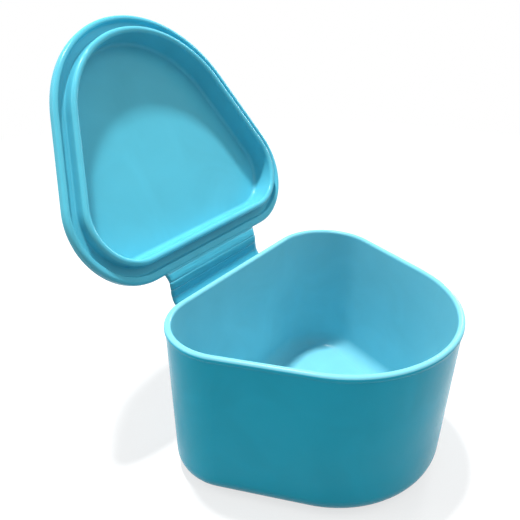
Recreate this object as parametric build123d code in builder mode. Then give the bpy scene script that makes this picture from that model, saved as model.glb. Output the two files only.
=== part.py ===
"""Denture case: a rounded triangular tub, a lid that plugs into it, and the creased strap that joins them.

Frame: millimetres, +Z up, origin at the middle of the tub's flat base. The strap stands on the +Y side and
the tub's nose points to -Y. The lid is modelled open, as it stands by itself on its strap.
"""
from build123d import *
from collections import namedtuple
from math import acos, atan2, cos, degrees, hypot, radians, sin, tan
import os

# Tub: outside sizes over the rim bead
tub_width = 88.6
tub_depth = 72.0
tub_height = 49.0
corner_radius = 17.9        # plan radius of the two corners at the strap side
nose_radius = 35.9          # plan radius of the nose
wall = 1.6
wall_draft = 1.6            # degrees, narrowing towards the base
floor_thickness = 2.2
base_radius = 6.0           # outside edge under the tub
floor_radius = 5.0          # inside edge round the tub's floor
bead_stand = 0.3            # how far the rim bead stands out of the wall
bead_height = 2.3
bead_round = 0.9            # top edges of the rim
bead_underside = 1.2        # lower edge of the bead, run out into the wall

# Lid: heights are taken from its seat, the face that lies on the tub's rim
lip_clearance = 0.3         # between the foot of the lip and the bead that it goes round
lip_stand = 2.3             # lip beyond the bead at the sides
lip_nose_stand = 2.15       # lip beyond the bead at the nose
lip_back_stand = 3.05       # lip beyond the bead at the strap side, where the strap is moulded on
lip_corner_radius = 20.5
lip_depth = 1.8
lip_splay = 0.3             # how far the inside of the lip leans out towards its tip
lip_round = 0.9             # upper edge of the flange, outside
lip_tip_round = 1.0         # outside edge of the lip's tip, which makes the lip look full
lip_edge_round = 0.45       # inside edge of the lip's tip
flange_thickness = 1.1
groove_round = 0.5          # edges of the groove that the rim lies in
plug_clearance = 0.33       # between the plug skirt and the inside of the tub's rim
plug_depth = 3.95
plug_thickness = 2.0
plug_round = 0.95           # edges of the skirt's tip
lid_wall = 1.6
lid_rise = 5.9              # top of the lid above its seat
lid_draft = 1.5             # degrees, of the raised panel's sides
lid_edge_round = 2.8        # outside edge of the raised panel
lid_inner_round = 1.2       # edge inside, round the hollow of the lid

# Strap: flat slats joined by creases, each crease a thin round web of plastic
strap_margin = 4.5          # from each end of a centred strap to the lip's corner, where its back edge turns
strap_offset = -1.2         # middle of the strap from the middle of the tub
slat_pitch = 3.0            # from one crease to the next
slat_thickness = 1.2
web_radius = 0.25
web_gap = 0.05              # running gap between a web and the slat that turns round it
slat_edge = 0.36            # thickness of a slat's edge beside a crease
slat_bevel = 30.0           # degrees, of the faces beside a crease
root_gusset = 1.8           # height of the wedge under the strap's root
lower_slats = (15.0, 62.0, 86.0)    # directions from the root to the hinge crease, degrees up from +Y

# Hinge crease, the one that the lid turns at
hinge_reach = 7.32          # beyond the rim bead
hinge_drop = 0.43           # below the rim
seat_gap = 0.15             # left between the lid's seat and the rim when it is shut
lid_opening = 118.5         # degrees from shut, where the lid stands by itself

# What follows from them
tub_back = tub_depth / 2
rim_width = bead_stand + wall
lip_lean = degrees(atan2(lip_splay, lip_depth))      # of the inside of the lip
plug_outer = -rim_width - plug_clearance             # plug skirt's sides, from the rim bead's outside
plug_inner = plug_outer - plug_thickness
turn_radius = web_radius + web_gap                   # from a crease to the edge that turns round it
bevel_length = (slat_thickness - slat_edge) / 2 / tan(radians(slat_bevel))
hinge = (tub_back + hinge_reach, tub_height - hinge_drop)
lip_back = tub_back + lip_back_stand
lip_foot = tub_height + seat_gap - lip_depth         # lower edge of the lip on the shut lid

Triangle = namedtuple("Triangle", "half_width back nose corner_radius nose_radius")
rim_shape = Triangle(tub_width / 2, tub_back, -tub_back, corner_radius, nose_radius)
lip_shape = Triangle(
    tub_width / 2 + lip_stand,
    tub_back + lip_back_stand,
    -tub_back - lip_nose_stand,
    lip_corner_radius,
    nose_radius + lip_nose_stand,
)
strap_width = 2 * (lip_shape.half_width - lip_corner_radius - strap_margin)


def outline(shape, margin=0.0):
    """Closed plan outline: two corner arcs and a nose arc, joined by the lines that touch them."""
    corner = shape.corner_radius + margin
    nose = shape.nose_radius + margin
    corner_x = shape.half_width - shape.corner_radius
    corner_y = shape.back - shape.corner_radius
    nose_y = shape.nose + shape.nose_radius
    lean = atan2(corner_y - nose_y, corner_x)
    between = acos((nose - corner) / hypot(corner_x, corner_y - nose_y))
    side = degrees(lean - between)                   # direction that the right side faces
    with BuildLine() as loop:
        right = CenterArc((corner_x, corner_y), corner, side, 90 - side)
        left = CenterArc((-corner_x, corner_y), corner, 90, 90 - side)
        front = CenterArc((0, nose_y), nose, 180 - side, 180 + 2 * side)
        Line(right @ 1, left @ 0)
        Line(left @ 1, front @ 0)
        Line(front @ 1, right @ 0)
    return loop.edges()


def edges_at(part, plane, height, select=Select.ALL):
    """Edges of a part that lie flat at a height above a plane."""
    def is_flat_there(edge):
        return all(abs(plane.to_local_coords(edge @ t).Z - height) < 0.001 for t in (0, 0.4, 1))
    return part.edges(select).filter_by(is_flat_there)


def wall_face(height):
    """Y of the tub's outside wall at the strap side, at a height above the base."""
    return tub_back - bead_stand - (tub_height - height) * tan(radians(wall_draft))


def opened(y, z):
    """Where a point of the shut lid is at rest."""
    turn = radians(-lid_opening)
    back, up = y - hinge[0], z - hinge[1]
    return (hinge[0] + back * cos(turn) - up * sin(turn), hinge[1] + back * sin(turn) + up * cos(turn))


def along(point, direction, distance):
    """The point (y, z) some way from another in a direction."""
    return (point[0] + distance * cos(radians(direction)), point[1] + distance * sin(radians(direction)))


def strap_plane(crease, direction):
    """Plane across the strap: its x leaves a crease along a slat, its z runs along the strap's width."""
    ahead = (0, cos(radians(direction)), sin(radians(direction)))
    return Plane(origin=(strap_offset, *crease), x_dir=ahead, z_dir=(1, 0, 0))


def near_end():
    """Lower half of a slat's end beside the web that it turns round: its edge, then the bevel."""
    return [
        (turn_radius, -slat_edge / 2),
        (turn_radius + bevel_length, -slat_thickness / 2),
    ]


def web_end(end):
    """Lower half of a profile's end at x = end: the bevel down to the slat's edge, then the neck of its web."""
    return [
        (end - turn_radius - bevel_length, -slat_thickness / 2),
        (end - turn_radius, -slat_edge / 2),
        (end, -slat_edge / 2),
    ]


def mirrored(points):
    """The same points above the slat's middle, in the opposite order."""
    return [(x, -y) for x, y in reversed(points)]


rim_plane = Plane.XY.offset(tub_height)
seat_height = tub_height + seat_gap
seat = Plane(
    origin=(0, *opened(0, seat_height)),
    x_dir=(1, 0, 0),
    z_dir=(0, sin(radians(lid_opening)), cos(radians(lid_opening))),
)

with BuildPart() as tub:
    with BuildSketch(rim_plane):
        make_face(outline(rim_shape))
    extrude(amount=-bead_height)
    fillet(edges_at(tub, rim_plane, -bead_height), bead_underside)
    with BuildSketch(rim_plane):
        make_face(outline(rim_shape, -bead_stand))
    extrude(amount=-tub_height, taper=wall_draft)
    fillet(edges_at(tub, Plane.XY, 0), base_radius)
    with BuildSketch(rim_plane):
        make_face(outline(rim_shape, -rim_width))
    extrude(amount=floor_thickness - tub_height, taper=wall_draft, mode=Mode.SUBTRACT)
    fillet(edges_at(tub, Plane.XY, floor_thickness), floor_radius)
    fillet(edges_at(tub, rim_plane, 0), bead_round)

with BuildPart() as lid:
    with BuildSketch(seat):
        make_face(outline(lip_shape))
    extrude(amount=flange_thickness)
    fillet(edges_at(lid, seat, flange_thickness), lip_round)
    with BuildSketch(seat):
        make_face(outline(lip_shape))
    extrude(amount=-lip_depth)
    fillet(edges_at(lid, seat, -lip_depth), lip_tip_round)
    with BuildSketch(seat.offset(-lip_depth)):
        make_face(outline(rim_shape, lip_clearance + lip_splay))
    extrude(amount=lip_depth, taper=lip_lean, mode=Mode.SUBTRACT)
    fillet(edges_at(lid, seat, -lip_depth, Select.LAST), lip_edge_round)
    with BuildSketch(seat):
        make_face(outline(rim_shape, plug_inner + lid_wall))
    extrude(amount=lid_rise, taper=lid_draft)
    fillet(edges_at(lid, seat, lid_rise), lid_edge_round)
    with BuildSketch(seat):
        make_face(outline(rim_shape, plug_outer))
    extrude(amount=-plug_depth)
    fillet(edges_at(lid, seat, 0), groove_round)
    with BuildSketch(seat.offset(-plug_depth)):
        make_face(outline(rim_shape, plug_inner))
    extrude(amount=plug_depth + lid_rise - lid_wall, taper=lid_draft, mode=Mode.SUBTRACT)
    fillet(edges_at(lid, seat, lid_rise - lid_wall), lid_inner_round)
    fillet(edges_at(lid, seat, -plug_depth), plug_round)

# Creases at rest and the directions of the slats between them, from the tub to the lid
strap_end = opened(lip_back, lip_foot + slat_thickness / 2)
lid_side = degrees(atan2(strap_end[1] - hinge[1], strap_end[0] - hinge[0]))
creases = [hinge]
for direction in reversed(lower_slats):
    creases.insert(0, along(creases[0], direction, -slat_pitch))
creases.append(along(hinge, lid_side, slat_pitch))
directions = [*lower_slats, lid_side]

with BuildPart() as strap_root:
    root_y, root_z = creases[0]
    with BuildSketch(strap_plane((0, 0), 0)):
        lower = [(y, root_z + z) for y, z in web_end(root_y)]
        upper = [(y, root_z + z) for y, z in mirrored(web_end(root_y))]
        foot = root_z - slat_thickness / 2 - root_gusset
        top = root_z + slat_thickness / 2
        Polygon((wall_face(foot), foot), *lower, *upper, (wall_face(top), top), align=None)
        with Locations(creases[0]):
            Circle(web_radius)
    extrude(amount=strap_width / 2, both=True)

slats = []
for crease, direction in zip(creases, directions):
    with BuildPart() as slat:
        with BuildSketch(strap_plane(crease, direction)):
            lower = near_end() + web_end(slat_pitch)
            Polygon(*lower, *mirrored(lower), align=None)
            with Locations((slat_pitch, 0)):
                Circle(web_radius)
        extrude(amount=strap_width / 2, both=True)
    slats.append(slat)

with BuildPart() as strap_tail:
    tail_plane = strap_plane(creases[-1], lid_side)
    with BuildSketch(tail_plane):
        in_lip = lip_back - lip_tip_round
        ends = [opened(in_lip, lip_foot), opened(in_lip, lip_foot + slat_thickness)]
        corners = [tail_plane.to_local_coords(Vector(strap_offset, y, z)) for y, z in ends]
        lip_points = sorted((corner.Y, corner.X) for corner in corners)
        lower = near_end()
        Polygon(*lower, *[(x, y) for y, x in lip_points], *mirrored(lower), align=None)
    extrude(amount=strap_width / 2, both=True)
    add(lid.part, mode=Mode.SUBTRACT)

named_parts = {"tub": tub, "lid": lid, "strap_root": strap_root, "strap_tail": strap_tail}
for number, slat in enumerate(slats, start=1):
    named_parts[f"strap_slat_{number}"] = slat

os.makedirs("parts", exist_ok=True)
for name, piece in named_parts.items():
    piece.part.label = name
    export_step(piece.part, f"parts/{name}.step")
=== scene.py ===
"""Denture case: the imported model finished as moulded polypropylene, its creased strap, and the stage.

Laid out as an add-on and run as a script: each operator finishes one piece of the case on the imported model,
and main() calls them in order. Blender units are metres, in the model's own frame: +Z up, the strap on +Y.
"""
from math import cos, radians, sin

import bmesh
import bpy
from bpy.props import FloatProperty, FloatVectorProperty, IntProperty, PointerProperty
from mathutils import Matrix, Vector, noise


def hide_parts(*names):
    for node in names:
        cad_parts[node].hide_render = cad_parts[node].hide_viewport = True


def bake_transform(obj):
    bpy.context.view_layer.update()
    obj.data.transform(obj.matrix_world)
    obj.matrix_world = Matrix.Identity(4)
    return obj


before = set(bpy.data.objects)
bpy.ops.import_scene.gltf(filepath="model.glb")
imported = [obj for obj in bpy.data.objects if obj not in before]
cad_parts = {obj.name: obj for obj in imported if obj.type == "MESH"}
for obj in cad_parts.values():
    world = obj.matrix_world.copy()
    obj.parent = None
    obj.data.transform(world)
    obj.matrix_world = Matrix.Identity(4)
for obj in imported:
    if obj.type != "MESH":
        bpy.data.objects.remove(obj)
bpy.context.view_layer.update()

bl_info = {
    "name": "Denture Case",
    "version": (1, 0, 0),
    "blender": (4, 5, 0),
    "location": "3D View > Sidebar > Denture Case",
    "description": "Finishes a denture case: its polypropylene, its creased strap and its stage",
    "category": "Object",
}

MM = 0.001

# Points in front of the hollows of the tub and of the lid, at rest. A face that looks to its point is inside
# and takes a painted copy of the colour: paler, painted light, on the tub and lid; darker, painted shade, on
# the strap.
TUB_HOLLOW_POINT = (0, 0.005, 0.12)
LID_HOLLOW_POINT = (0, -0.809, 0.562)

CREASE_MARK = "crease_line"      # vertex attribute of the strap: how deep in a crease the plastic is

# Middle line of the strap at rest, (y, z) in millimetres: from inside the tub's wall, over the root, past the
# hinge crease, up to the lid's lip at the third last point, and on inside it. The first and last points only
# give the curve its direction.
STRAP_LINE = (
    (34.9, 42.0),
    (36.8, 42.05),
    (38.8, 42.15),
    (41.3, 43.0),
    (42.7, 44.9),
    (43.18, 46.8),
    (43.32, 48.57),
    (43.62, 50.1),
    (44.16, 51.4),
    (44.81, 52.62),
    (45.70, 53.62),
    (46.40, 54.50),
)


def linear(colour):
    """Linear red, green and blue of an sRGB hex colour."""
    channels = [(colour >> shift & 255) / 255 for shift in (16, 8, 0)]
    return [c / 12.92 if c <= 0.04045 else ((c + 0.055) / 1.055) ** 2.4 for c in channels]


def add_node(tree, kind, settings=None, inputs=None):
    """Adds a shader node. An input is given by name or number, as a value or as another node's output."""
    node = tree.nodes.new(kind)
    for name, value in (settings or {}).items():
        setattr(node, name, value)
    for socket, value in (inputs or {}).items():
        if isinstance(value, bpy.types.NodeSocket):
            tree.links.new(value, node.inputs[socket])
        else:
            node.inputs[socket].default_value = value
    return node


class PlasticSettings(bpy.types.PropertyGroup):
    """The case's one plastic, painted copies of its colour, and the traces that its mould leaves on it"""

    colour: FloatVectorProperty(
        name="Colour",
        description="Turquoise masterbatch in the polypropylene, as the polished outside shows it",
        subtype="COLOR",
        size=3,
        min=0,
        max=1,
        default=linear(0x1EB6D4),
    )
    # Painted light and sheen: a paler copy of the colour for the brighter-lit inside of the tub.
    tub_inside_painted_light: FloatVectorProperty(
        name="Tub Inside",
        # The same plastic inside the tub, painted paler: painted light and sheen on the brighter-lit hollow
        description="The same plastic inside the tub, satin from the mould's core",
        subtype="COLOR",
        size=3,
        min=0,
        max=1,
        default=linear(0x7AC6D6),
    )
    # Painted light and sheen: a paler copy of the colour for the brighter-lit inside of the lid.
    lid_inside_painted_light: FloatVectorProperty(
        name="Lid Inside",
        # The same plastic inside the lid, painted paler: painted light and sheen on the brighter-lit hollow
        description="The same plastic inside the lid, satin from the mould's core",
        subtype="COLOR",
        size=3,
        min=0,
        max=1,
        default=linear(0x58BAD0),
    )
    # Painted shade: a duller, darker copy of the colour for the strap, which lies in shade.
    strap_painted_shade: FloatVectorProperty(
        name="Strap Colour",
        # The same plastic in the strap, painted duller and darker: painted shade
        description="The same plastic in the strap, dulled by bending",
        subtype="COLOR",
        size=3,
        min=0,
        max=1,
        default=linear(0x48B0C8),
    )
    roughness: FloatProperty(
        name="Roughness",
        description="Gloss of the mould's polished steel, as the plastic takes it",
        subtype="FACTOR",
        min=0,
        max=1,
        default=0.22,
    )
    flow_size: FloatProperty(
        name="Flow Marks",
        description="Width of the faint clouds where the colour mixed unevenly",
        unit="LENGTH",
        default=22 * MM,
    )
    shrink_size: FloatProperty(
        name="Shrink Waves",
        description="Width of the shallow waves that cooling leaves in a flat wall",
        unit="LENGTH",
        default=16 * MM,
    )
    drag_size: FloatProperty(
        name="Drag Lines",
        description="Spacing of the faint upright lines where the walls slid off the mould",
        unit="LENGTH",
        default=1.6 * MM,
    )
    smear_size: FloatProperty(
        name="Smears",
        description="Width of the patches where the gloss differs a little",
        unit="LENGTH",
        default=6 * MM,
    )
    wrinkle_size: FloatProperty(
        name="Wrinkles",
        description="Spacing of the fine wrinkles that bending leaves along the strap",
        unit="LENGTH",
        default=0.9 * MM,
    )
    grain_size: FloatProperty(
        name="Grain",
        # Spacing of the fine satiny grain
        description="Spacing of the fine satin grain",
        unit="LENGTH",
        default=0.35 * MM,
    )


class StrapSettings(bpy.types.PropertyGroup):
    """The ribbed strap between the tub and the lid"""

    width: FloatProperty(name="Width", description="Width of the strap", unit="LENGTH", default=43.2 * MM)
    offset: FloatProperty(
        name="Offset",
        description="Middle of the strap from the tub's middle",
        unit="LENGTH",
        default=-1.2 * MM,
    )
    thickness: FloatProperty(
        name="Thickness", description="Thickness at the middle of a rib", unit="LENGTH", default=1.2 * MM
    )
    crease_thickness: FloatProperty(
        name="Crease Thickness", description="Thickness left in a crease", unit="LENGTH", default=0.5 * MM
    )
    rib_pitch: FloatProperty(
        name="Rib Pitch", description="Distance from one crease to the next", unit="LENGTH", default=2.45 * MM
    )
    first_crease: FloatProperty(
        name="First Crease", description="From the lid to the first crease", unit="LENGTH", default=0.1 * MM
    )
    crease_draw: FloatProperty(
        name="Crease Draw",
        description="How far a crease draws in the strap's ends",
        unit="LENGTH",
        default=0.22 * MM,
    )
    edge_round: FloatProperty(
        name="Edge Round",
        description="Width of the rounded ends of the strap",
        unit="LENGTH",
        default=0.6 * MM,
    )
    flare: FloatProperty(
        name="Flare",
        description="How far the strap widens where it meets the lid",
        unit="LENGTH",
        default=0.5 * MM,
    )
    flare_length: FloatProperty(
        name="Flare Length",
        description="From the lid to where the flare ends",
        unit="LENGTH",
        default=2.2 * MM,
    )
    unevenness: FloatProperty(
        name="Unevenness", description="How far the strap's faces wander", unit="LENGTH", default=0.05 * MM
    )
    rings_per_mm: IntProperty(
        name="Rings per mm", description="Mesh rings along the strap", min=4, default=10
    )
    columns: IntProperty(
        name="Columns", description="Mesh columns over each face of the strap", min=8, default=44
    )


class StageSettings(bpy.types.PropertyGroup):
    """Camera, lamps and floor"""

    camera_place: FloatVectorProperty(
        name="Camera",
        description="Place of the camera in the model's frame",
        subtype="TRANSLATION",
        size=3,
        default=(-0.137266, -0.069710, 0.139781),
    )
    camera_heading: FloatProperty(
        name="Heading", description="Turn of the view from +Y", subtype="ANGLE", default=radians(-54.863)
    )
    camera_dip: FloatProperty(
        name="Dip",
        description="How far the view points below the horizon",
        subtype="ANGLE",
        default=radians(27.137),
    )
    camera_roll: FloatProperty(
        name="Roll", description="Roll of the camera", subtype="ANGLE", default=radians(0.587)
    )
    focal_length: FloatProperty(
        name="Focal Length", description="On a sensor 36 mm wide", subtype="DISTANCE_CAMERA", default=42.52
    )
    fill: FloatProperty(
        name="Fill", description="Strength of the even light from all round", min=0, default=0.44
    )
    overhead_power: FloatProperty(
        name="Overhead",
        description="Lamp above, which throws the shadows",
        subtype="POWER",
        min=0,
        default=29,
    )
    front_power: FloatProperty(
        name="Front", description="Wide soft lamp above the tub's nose", subtype="POWER", min=0, default=1.0
    )
    left_power: FloatProperty(
        name="Left",
        description="Soft lamp behind on the left, which lights the lid's edge",
        subtype="POWER",
        min=0,
        default=1.1,
    )
    right_power: FloatProperty(
        name="Right",
        description="Strip lamp on the right, which lights the tub's side",
        subtype="POWER",
        min=0,
        default=1.3,
    )
    floor_shade: FloatProperty(
        name="Floor Shade",
        description="How light the floor is to everything but the camera",
        min=0,
        max=1,
        default=0.24,
    )


def mould_colour(tree, place, plastic, inside):
    """Colour in the mass, clouded: plain where a face looks away from the hollow, a painted copy where it
    looks in.
    """
    hollow_point, painted_inside_colour = inside
    facing = add_node(tree, "ShaderNodeTexCoord").outputs["Normal"]
    to_hollow = add_node(tree, "ShaderNodeVectorMath", {"operation": "SUBTRACT"}, {0: hollow_point, 1: place})
    to_hollow = add_node(tree, "ShaderNodeVectorMath", {"operation": "NORMALIZE"}, {0: to_hollow.outputs[0]})
    towards = add_node(
        tree, "ShaderNodeVectorMath", {"operation": "DOT_PRODUCT"}, {0: facing, 1: to_hollow.outputs[0]}
    )
    # Mask of faces that look into the hollow, which get the painted copy: paler on the tub and lid, darker on
    # the strap.
    facing_hollow = add_node(
        tree,
        "ShaderNodeMapRange",
        {"interpolation_type": "SMOOTHSTEP"},
        {"Value": towards.outputs["Value"], "From Min": -0.3, "From Max": 0.0, "To Min": 0.0, "To Max": 1.0},
    )
    base = add_node(
        tree,
        "ShaderNodeMix",
        {"data_type": "RGBA"},
        {"Factor": facing_hollow.outputs["Result"], "A": (*plastic.colour, 1), "B": (*painted_inside_colour, 1)},
    )
    flow = add_node(
        tree,
        "ShaderNodeTexNoise",
        {"noise_dimensions": "3D"},
        {"Vector": place, "Scale": 1 / plastic.flow_size, "Detail": 3.0, "Roughness": 0.5, "Distortion": 1.2},
    )
    depth = add_node(
        tree,
        "ShaderNodeMapRange",
        None,
        {"Value": flow.outputs["Fac"], "From Min": 0.3, "From Max": 0.7, "To Min": 0.95, "To Max": 1.04},
    )
    clouded = add_node(
        tree,
        "ShaderNodeMix",
        {"data_type": "RGBA", "blend_type": "MULTIPLY"},
        {"Factor": 1.0, "A": base.outputs["Result"], "B": depth.outputs["Result"]},
    )
    return clouded.outputs["Result"]


def mould_relief(tree, place, plastic, bent):
    """Shallow waves from cooling, wrinkles where it bends or drag lines elsewhere, and the satiny grain."""
    waves = add_node(
        tree,
        "ShaderNodeTexNoise",
        {"noise_dimensions": "3D"},
        {"Vector": place, "Scale": 1 / plastic.shrink_size, "Detail": 1.0, "Roughness": 0.4},
    )
    shallow = add_node(
        tree,
        "ShaderNodeBump",
        None,
        {"Height": waves.outputs["Fac"], "Strength": 0.3, "Distance": 0.25 * MM},
    )
    if bent:
        drawn_out, spacing, detail, roughness = (0.07, 1, 1), plastic.wrinkle_size, 2.0, 0.5
        strength, height = 0.6, 0.25 * MM
    else:
        drawn_out, spacing, detail, roughness = (1, 1, 0.04), plastic.drag_size, 3.0, 0.6
        strength, height = 0.35, 0.06 * MM
    along = add_node(tree, "ShaderNodeVectorMath", {"operation": "MULTIPLY"}, {0: place, 1: drawn_out})
    lines = add_node(
        tree,
        "ShaderNodeTexNoise",
        {"noise_dimensions": "3D"},
        {"Vector": along.outputs[0], "Scale": 1 / spacing, "Detail": detail, "Roughness": roughness},
    )
    lined = add_node(
        tree,
        "ShaderNodeBump",
        None,
        {"Height": lines.outputs["Fac"], "Strength": strength, "Distance": height,
         "Normal": shallow.outputs["Normal"]},
    )
    grain = add_node(
        tree,
        "ShaderNodeTexNoise",
        {"noise_dimensions": "3D"},
        {"Vector": place, "Scale": 1 / plastic.grain_size, "Detail": 2.0, "Roughness": 0.5},
    )
    fine = add_node(
        tree,
        "ShaderNodeBump",
        None,
        {"Height": grain.outputs["Fac"], "Strength": 0.06, "Distance": 0.01 * MM,
         "Normal": lined.outputs["Normal"]},
    )
    return fine.outputs["Normal"]


def moulded_polypropylene(name, plastic, inside, crease_mark=None):
    """Injection-moulded polypropylene, coloured in the mass.

    To the eye it is even and a little milky: soft wide highlights from a polished mould, faint clouds where
    the colour mixed, shallow waves where the walls shrank, and paler lines where it has been bent. Its
    outside, glossy from the mould's polished cavity, shows the plastic's own deep colour. Its inside is a
    paler copy, painted light and sheen for the brighter-lit hollows; in the strap it is a duller, darker
    copy, painted shade.
    The inside is given as the point that it looks to and its colour.
    """
    material = bpy.data.materials.new(name)
    material.use_nodes = True
    tree = material.node_tree
    shader = tree.nodes["Principled BSDF"]
    shader.inputs["IOR"].default_value = 1.49
    shader.inputs["Specular IOR Level"].default_value = 0.12      # the photographed highlights are faint
    shader.inputs["Subsurface Weight"].default_value = 0.12
    shader.inputs["Subsurface Radius"].default_value = (0.4, 1.0, 1.2)
    shader.inputs["Subsurface Scale"].default_value = 1.5 * MM

    place = add_node(tree, "ShaderNodeTexCoord").outputs["Object"]
    colour = mould_colour(tree, place, plastic, inside)
    if crease_mark:
        crease = add_node(tree, "ShaderNodeAttribute", {"attribute_name": crease_mark})
        # Creases whiten the strap's colour, which is itself painted shade.
        whitened = [c + (1 - c) * 0.12 for c in plastic.strap_painted_shade]
        creased = add_node(
            tree,
            "ShaderNodeMix",
            {"data_type": "RGBA"},
            {"Factor": crease.outputs["Fac"], "A": colour, "B": (*whitened, 1)},
        )
        colour = creased.outputs["Result"]
    tree.links.new(colour, shader.inputs["Base Color"])

    smear = add_node(
        tree,
        "ShaderNodeTexNoise",
        {"noise_dimensions": "3D"},
        {"Vector": place, "Scale": 1 / plastic.smear_size, "Detail": 4.0, "Roughness": 0.6},
    )
    gloss = add_node(
        tree,
        "ShaderNodeMapRange",
        None,
        {"Value": smear.outputs["Fac"], "From Min": 0.3, "From Max": 0.7,
         "To Min": plastic.roughness - 0.03, "To Max": plastic.roughness + 0.05},
    )
    tree.links.new(gloss.outputs["Result"], shader.inputs["Roughness"])
    tree.links.new(mould_relief(tree, place, plastic, crease_mark is not None), shader.inputs["Normal"])
    return material


def finish_node(name, material):
    """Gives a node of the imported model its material."""
    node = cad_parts[name]
    if not node.material_slots:
        node.data.materials.append(material)
    for slot in node.material_slots:
        slot.material = material


def smooth_line(points, step):
    """Points at even steps along a smooth curve through all but the first and the last of the given ones.

    Each comes with the curve's direction there.
    """
    samples = 64      # of the curve between two given points
    knots = [Vector((0, y * MM, z * MM)) for y, z in points]
    fine = []
    for a, b, c, d in zip(knots, knots[1:], knots[2:], knots[3:]):
        for i in range(samples):
            t = i / samples
            bend = (2 * a - 5 * b + 4 * c - d) * t**2 + (3 * b - a - 3 * c + d) * t**3
            fine.append(0.5 * (2 * b + (c - a) * t + bend))
    line, travelled, due = [], 0.0, 0.0
    for start, end in zip(fine, fine[1:]):
        length = (end - start).length
        while due <= travelled + length:
            line.append(start.lerp(end, (due - travelled) / length))
            due += step
        travelled += length
    directions = [(b - a).normalized() for a, b in zip(line, line[1:])]
    return list(zip(line, directions + directions[-1:]))


def ribbed_section(strap, from_lip):
    """The strap's outline at a distance from the lid, from its +X end over its upper face and back under it.

    Each point is its place across the strap, its height over the middle and how deep in a crease it is.
    """
    in_crease = abs(((from_lip - strap.first_crease) / strap.rib_pitch) % 1 * 2 - 1)      # 0 in a rib
    hollow = 1 - (1 - in_crease**5) ** 0.5
    flare = strap.flare * max(0.0, 1 - from_lip / strap.flare_length) ** 2
    half_width = strap.width / 2 + flare - strap.crease_draw * hollow
    outline = []
    for side in (1, -1):
        for j in range(strap.columns):
            x = side * half_width * (1 - 2 * j / strap.columns)
            bite = hollow * (0.25 + 0.75 * (abs(x) / half_width) ** 4)      # deeper at the strap's ends
            half = strap.thickness / 2 - (strap.thickness - strap.crease_thickness) / 2 * bite
            edge = max(0.0, 1 - (half_width - abs(x)) / strap.edge_round)
            wander = strap.unevenness * noise.noise(Vector((x, from_lip * 1.7, side)) * 220)
            outline.append((x, side * half * (1 - edge**2) ** 0.5 + wander * (1 - edge), bite))
    return outline


class CASE_OT_tub(bpy.types.Operator):
    """Finish the tub in polypropylene"""

    bl_idname = "denture_case.tub"
    bl_label = "Tub"

    def execute(self, context):
        plastic = context.scene.case_plastic
        # The tub's inside colour is painted light and sheen.
        inside = (TUB_HOLLOW_POINT, plastic.tub_inside_painted_light)
        finish_node("tub", moulded_polypropylene("tub_moulded_polypropylene", plastic, inside))
        return {"FINISHED"}


class CASE_OT_lid(bpy.types.Operator):
    """Finish the lid in polypropylene"""

    bl_idname = "denture_case.lid"
    bl_label = "Lid"

    def execute(self, context):
        plastic = context.scene.case_plastic
        # The lid's inside colour is painted light and sheen.
        inside = (LID_HOLLOW_POINT, plastic.lid_inside_painted_light)
        finish_node("lid", moulded_polypropylene("lid_moulded_polypropylene", plastic, inside))
        return {"FINISHED"}


class CASE_OT_strap(bpy.types.Operator):
    """Make the ribbed strap as one curved piece between the tub and the lid"""

    bl_idname = "denture_case.strap"
    bl_label = "Strap"

    def execute(self, context):
        strap, plastic = context.scene.case_strap, context.scene.case_plastic
        step = MM / strap.rings_per_mm
        line = smooth_line(STRAP_LINE, step)
        lip_y, lip_z = STRAP_LINE[-3]
        at_lip = Vector((0, lip_y * MM, lip_z * MM))
        lip_ring = min(range(len(line)), key=lambda i: (line[i][0] - at_lip).length)

        mesh = bpy.data.meshes.new("strap")
        form = bmesh.new()
        crease = form.verts.layers.float.new(CREASE_MARK)
        rings = []
        for i, (centre, ahead) in enumerate(line):
            up = Vector((0, -ahead.z, ahead.y))      # towards the tub and the camera
            ring = []
            for x, lift, bite in ribbed_section(strap, max(0.0, (lip_ring - i) * step)):
                vert = form.verts.new(centre + up * lift + Vector((strap.offset + x, 0, 0)))
                vert[crease] = bite
                ring.append(vert)
            rings.append(ring)
        for near, far in zip(rings, rings[1:]):
            for j in range(len(near)):
                k = (j + 1) % len(near)
                form.faces.new((near[j], near[k], far[k], far[j]))
        form.faces.new(rings[0][::-1])
        form.faces.new(rings[-1])
        bmesh.ops.recalc_face_normals(form, faces=form.faces)
        form.to_mesh(mesh)
        form.free()
        mesh.shade_smooth()
        piece = bpy.data.objects.new("strap", mesh)
        context.collection.objects.link(piece)
        # The strap's inside colour is painted shade.
        inside = (LID_HOLLOW_POINT, plastic.strap_painted_shade)
        mesh.materials.append(
            moulded_polypropylene("strap_moulded_polypropylene", plastic, inside, CREASE_MARK)
        )
        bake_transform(piece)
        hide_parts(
            "strap_root", "strap_slat_1", "strap_slat_2", "strap_slat_3", "strap_slat_4", "strap_tail"
        )
        return {"FINISHED"}


def add_lamp(name, place, size, power, target):
    """A rectangular soft lamp that faces a point."""
    data = bpy.data.lights.new(name, "AREA")
    data.shape = "RECTANGLE"
    data.size, data.size_y = size
    data.energy = power
    lamp = bpy.data.objects.new(name, data)
    lamp.location = place
    lamp.rotation_euler = (Vector(target) - Vector(place)).to_track_quat("-Z", "Y").to_euler()
    bpy.context.collection.objects.link(lamp)


def white_to_the_eye(tree):
    """1 for rays that show the background: from the camera, or by a reflection or a clear material."""
    rays = add_node(tree, "ShaderNodeLightPath")
    seen = add_node(
        tree,
        "ShaderNodeMath",
        {"operation": "MAXIMUM"},
        {0: rays.outputs["Is Camera Ray"], 1: rays.outputs["Is Glossy Ray"]},
    )
    return add_node(
        tree,
        "ShaderNodeMath",
        {"operation": "MAXIMUM"},
        {0: seen.outputs[0], 1: rays.outputs["Is Transmission Ray"]},
    ).outputs[0]


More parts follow.
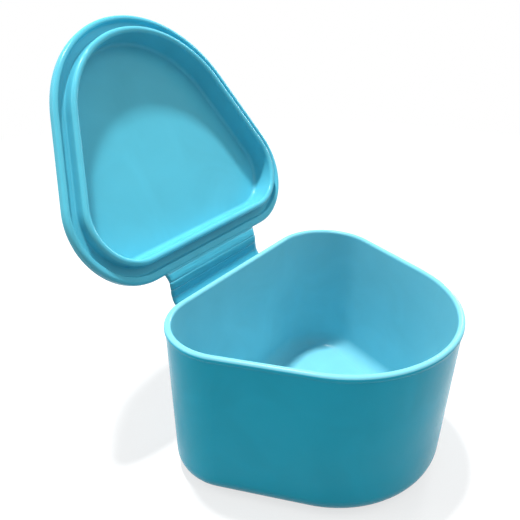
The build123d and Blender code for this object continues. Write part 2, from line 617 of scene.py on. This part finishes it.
class CASE_OT_stage(bpy.types.Operator):
    """Set up the pale floor, the soft lamps and the camera"""

    bl_idname = "denture_case.stage"
    bl_label = "Stage"

    def execute(self, context):
        stage = context.scene.case_stage
        scene = context.scene
        scene.view_settings.view_transform = "Standard"

        # Floor: pale to the camera, whitest away from the case, with the case's shadow on it
        mesh = bpy.data.meshes.new("floor")
        half = 2.0
        mesh.from_pydata(
            [(-half, -half, 0), (half, -half, 0), (half, half, 0), (-half, half, 0)], [], [(0, 1, 2, 3)]
        )
        floor = bpy.data.objects.new("floor", mesh)
        floor.location.z = -0.05 * MM      # just clear of the tub's base
        context.collection.objects.link(floor)
        paper = bpy.data.materials.new("matt_white_paper")
        paper.use_nodes = True
        tree = paper.node_tree
        output = tree.nodes["Material Output"]
        tree.nodes.remove(tree.nodes["Principled BSDF"])
        lit = add_node(tree, "ShaderNodeBsdfDiffuse", None, {"Color": (0.95, 0.95, 0.95, 1)})
        dim = add_node(tree, "ShaderNodeBsdfDiffuse", None, {"Color": (*[stage.floor_shade] * 3, 1)})
        glow = add_node(tree, "ShaderNodeEmission", None, {"Color": (1, 1, 1, 1), "Strength": 1.0})
        spot = add_node(tree, "ShaderNodeTexCoord").outputs["Object"]
        away = add_node(tree, "ShaderNodeVectorMath", {"operation": "LENGTH"}, {0: spot})
        bleach = add_node(
            tree,
            "ShaderNodeMapRange",
            None,
            {"Value": away.outputs["Value"], "From Min": 0.12, "From Max": 0.4, "To Min": 0.7, "To Max": 1.0},
        )
        seen = add_node(
            tree,
            "ShaderNodeMixShader",
            None,
            {"Fac": bleach.outputs[0], 1: lit.outputs[0], 2: glow.outputs[0]},
        )
        both = add_node(
            tree,
            "ShaderNodeMixShader",
            None,
            {"Fac": white_to_the_eye(tree), 1: dim.outputs[0], 2: seen.outputs[0]},
        )
        tree.links.new(both.outputs[0], output.inputs["Surface"])
        mesh.materials.append(paper)

        # Surroundings: white to the camera, an even fill to the case
        world = bpy.data.worlds.new("studio")
        world.use_nodes = True
        scene.world = world
        tree = world.node_tree
        strength = add_node(
            tree,
            "ShaderNodeMapRange",
            None,
            {"Value": white_to_the_eye(tree), "To Min": stage.fill, "To Max": 1.0},
        )
        background = tree.nodes["Background"]
        background.inputs["Color"].default_value = (1, 1, 1, 1)
        tree.links.new(strength.outputs["Result"], background.inputs["Strength"])

        # Lamps: the overhead throws the shadow that the photograph shows inside the lid, the others soften it
        middle = (0, 0.01, 0.05)
        add_lamp("overhead", (0.05, 0.29, 1.5), (0.11, 0.11), stage.overhead_power, middle)
        add_lamp("front", (0.15, -0.38, 0.6), (0.4, 0.4), stage.front_power, middle)
        add_lamp("left_edge", (-0.36, 0.44, 0.46), (0.3, 0.3), stage.left_power, middle)
        add_lamp("right_edge", (0.50, 0.05, 0.22), (0.12, 0.4), stage.right_power, middle)

        # Camera
        camera = bpy.data.objects.new("camera", bpy.data.cameras.new("camera"))
        camera.data.sensor_width = 36.0
        camera.data.lens = stage.focal_length
        camera.data.clip_start = 1 * MM
        heading, dip, roll = stage.camera_heading, stage.camera_dip, stage.camera_roll
        ahead = Vector((-sin(heading) * cos(dip), cos(heading) * cos(dip), -sin(dip)))
        right = Vector((cos(heading), sin(heading), 0))
        above = right.cross(ahead)
        rolled_right = right * cos(roll) + above * sin(roll)
        rolled_above = above * cos(roll) - right * sin(roll)
        turn = Matrix((rolled_right, rolled_above, -ahead)).transposed()
        camera.matrix_world = Matrix.Translation(stage.camera_place) @ turn.to_4x4()
        context.collection.objects.link(camera)
        scene.camera = camera
        return {"FINISHED"}


class CASE_PT_pieces(bpy.types.Panel):
    """The case's pieces, in the order that they are made"""

    bl_label = "Denture Case"
    bl_idname = "CASE_PT_pieces"
    bl_space_type = "VIEW_3D"
    bl_region_type = "UI"
    bl_category = "Denture Case"

    def draw(self, context):
        for operator in OPERATORS:
            self.layout.operator(operator.bl_idname)
        for group in ("case_plastic", "case_strap", "case_stage"):
            settings = getattr(context.scene, group)
            box = self.layout.box()
            for name in settings.__annotations__:
                box.prop(settings, name)


OPERATORS = (CASE_OT_tub, CASE_OT_lid, CASE_OT_strap, CASE_OT_stage)
CLASSES = (PlasticSettings, StrapSettings, StageSettings, *OPERATORS, CASE_PT_pieces)


def register():
    for cls in CLASSES:
        bpy.utils.register_class(cls)
    bpy.types.Scene.case_plastic = PointerProperty(type=PlasticSettings)
    bpy.types.Scene.case_strap = PointerProperty(type=StrapSettings)
    bpy.types.Scene.case_stage = PointerProperty(type=StageSettings)


def unregister():
    del bpy.types.Scene.case_stage
    del bpy.types.Scene.case_strap
    del bpy.types.Scene.case_plastic
    for cls in reversed(CLASSES):
        bpy.utils.unregister_class(cls)


def main():
    register()
    bpy.ops.denture_case.tub()
    bpy.ops.denture_case.lid()
    bpy.ops.denture_case.strap()
    bpy.ops.denture_case.stage()


if __name__ == "__main__":
    main()
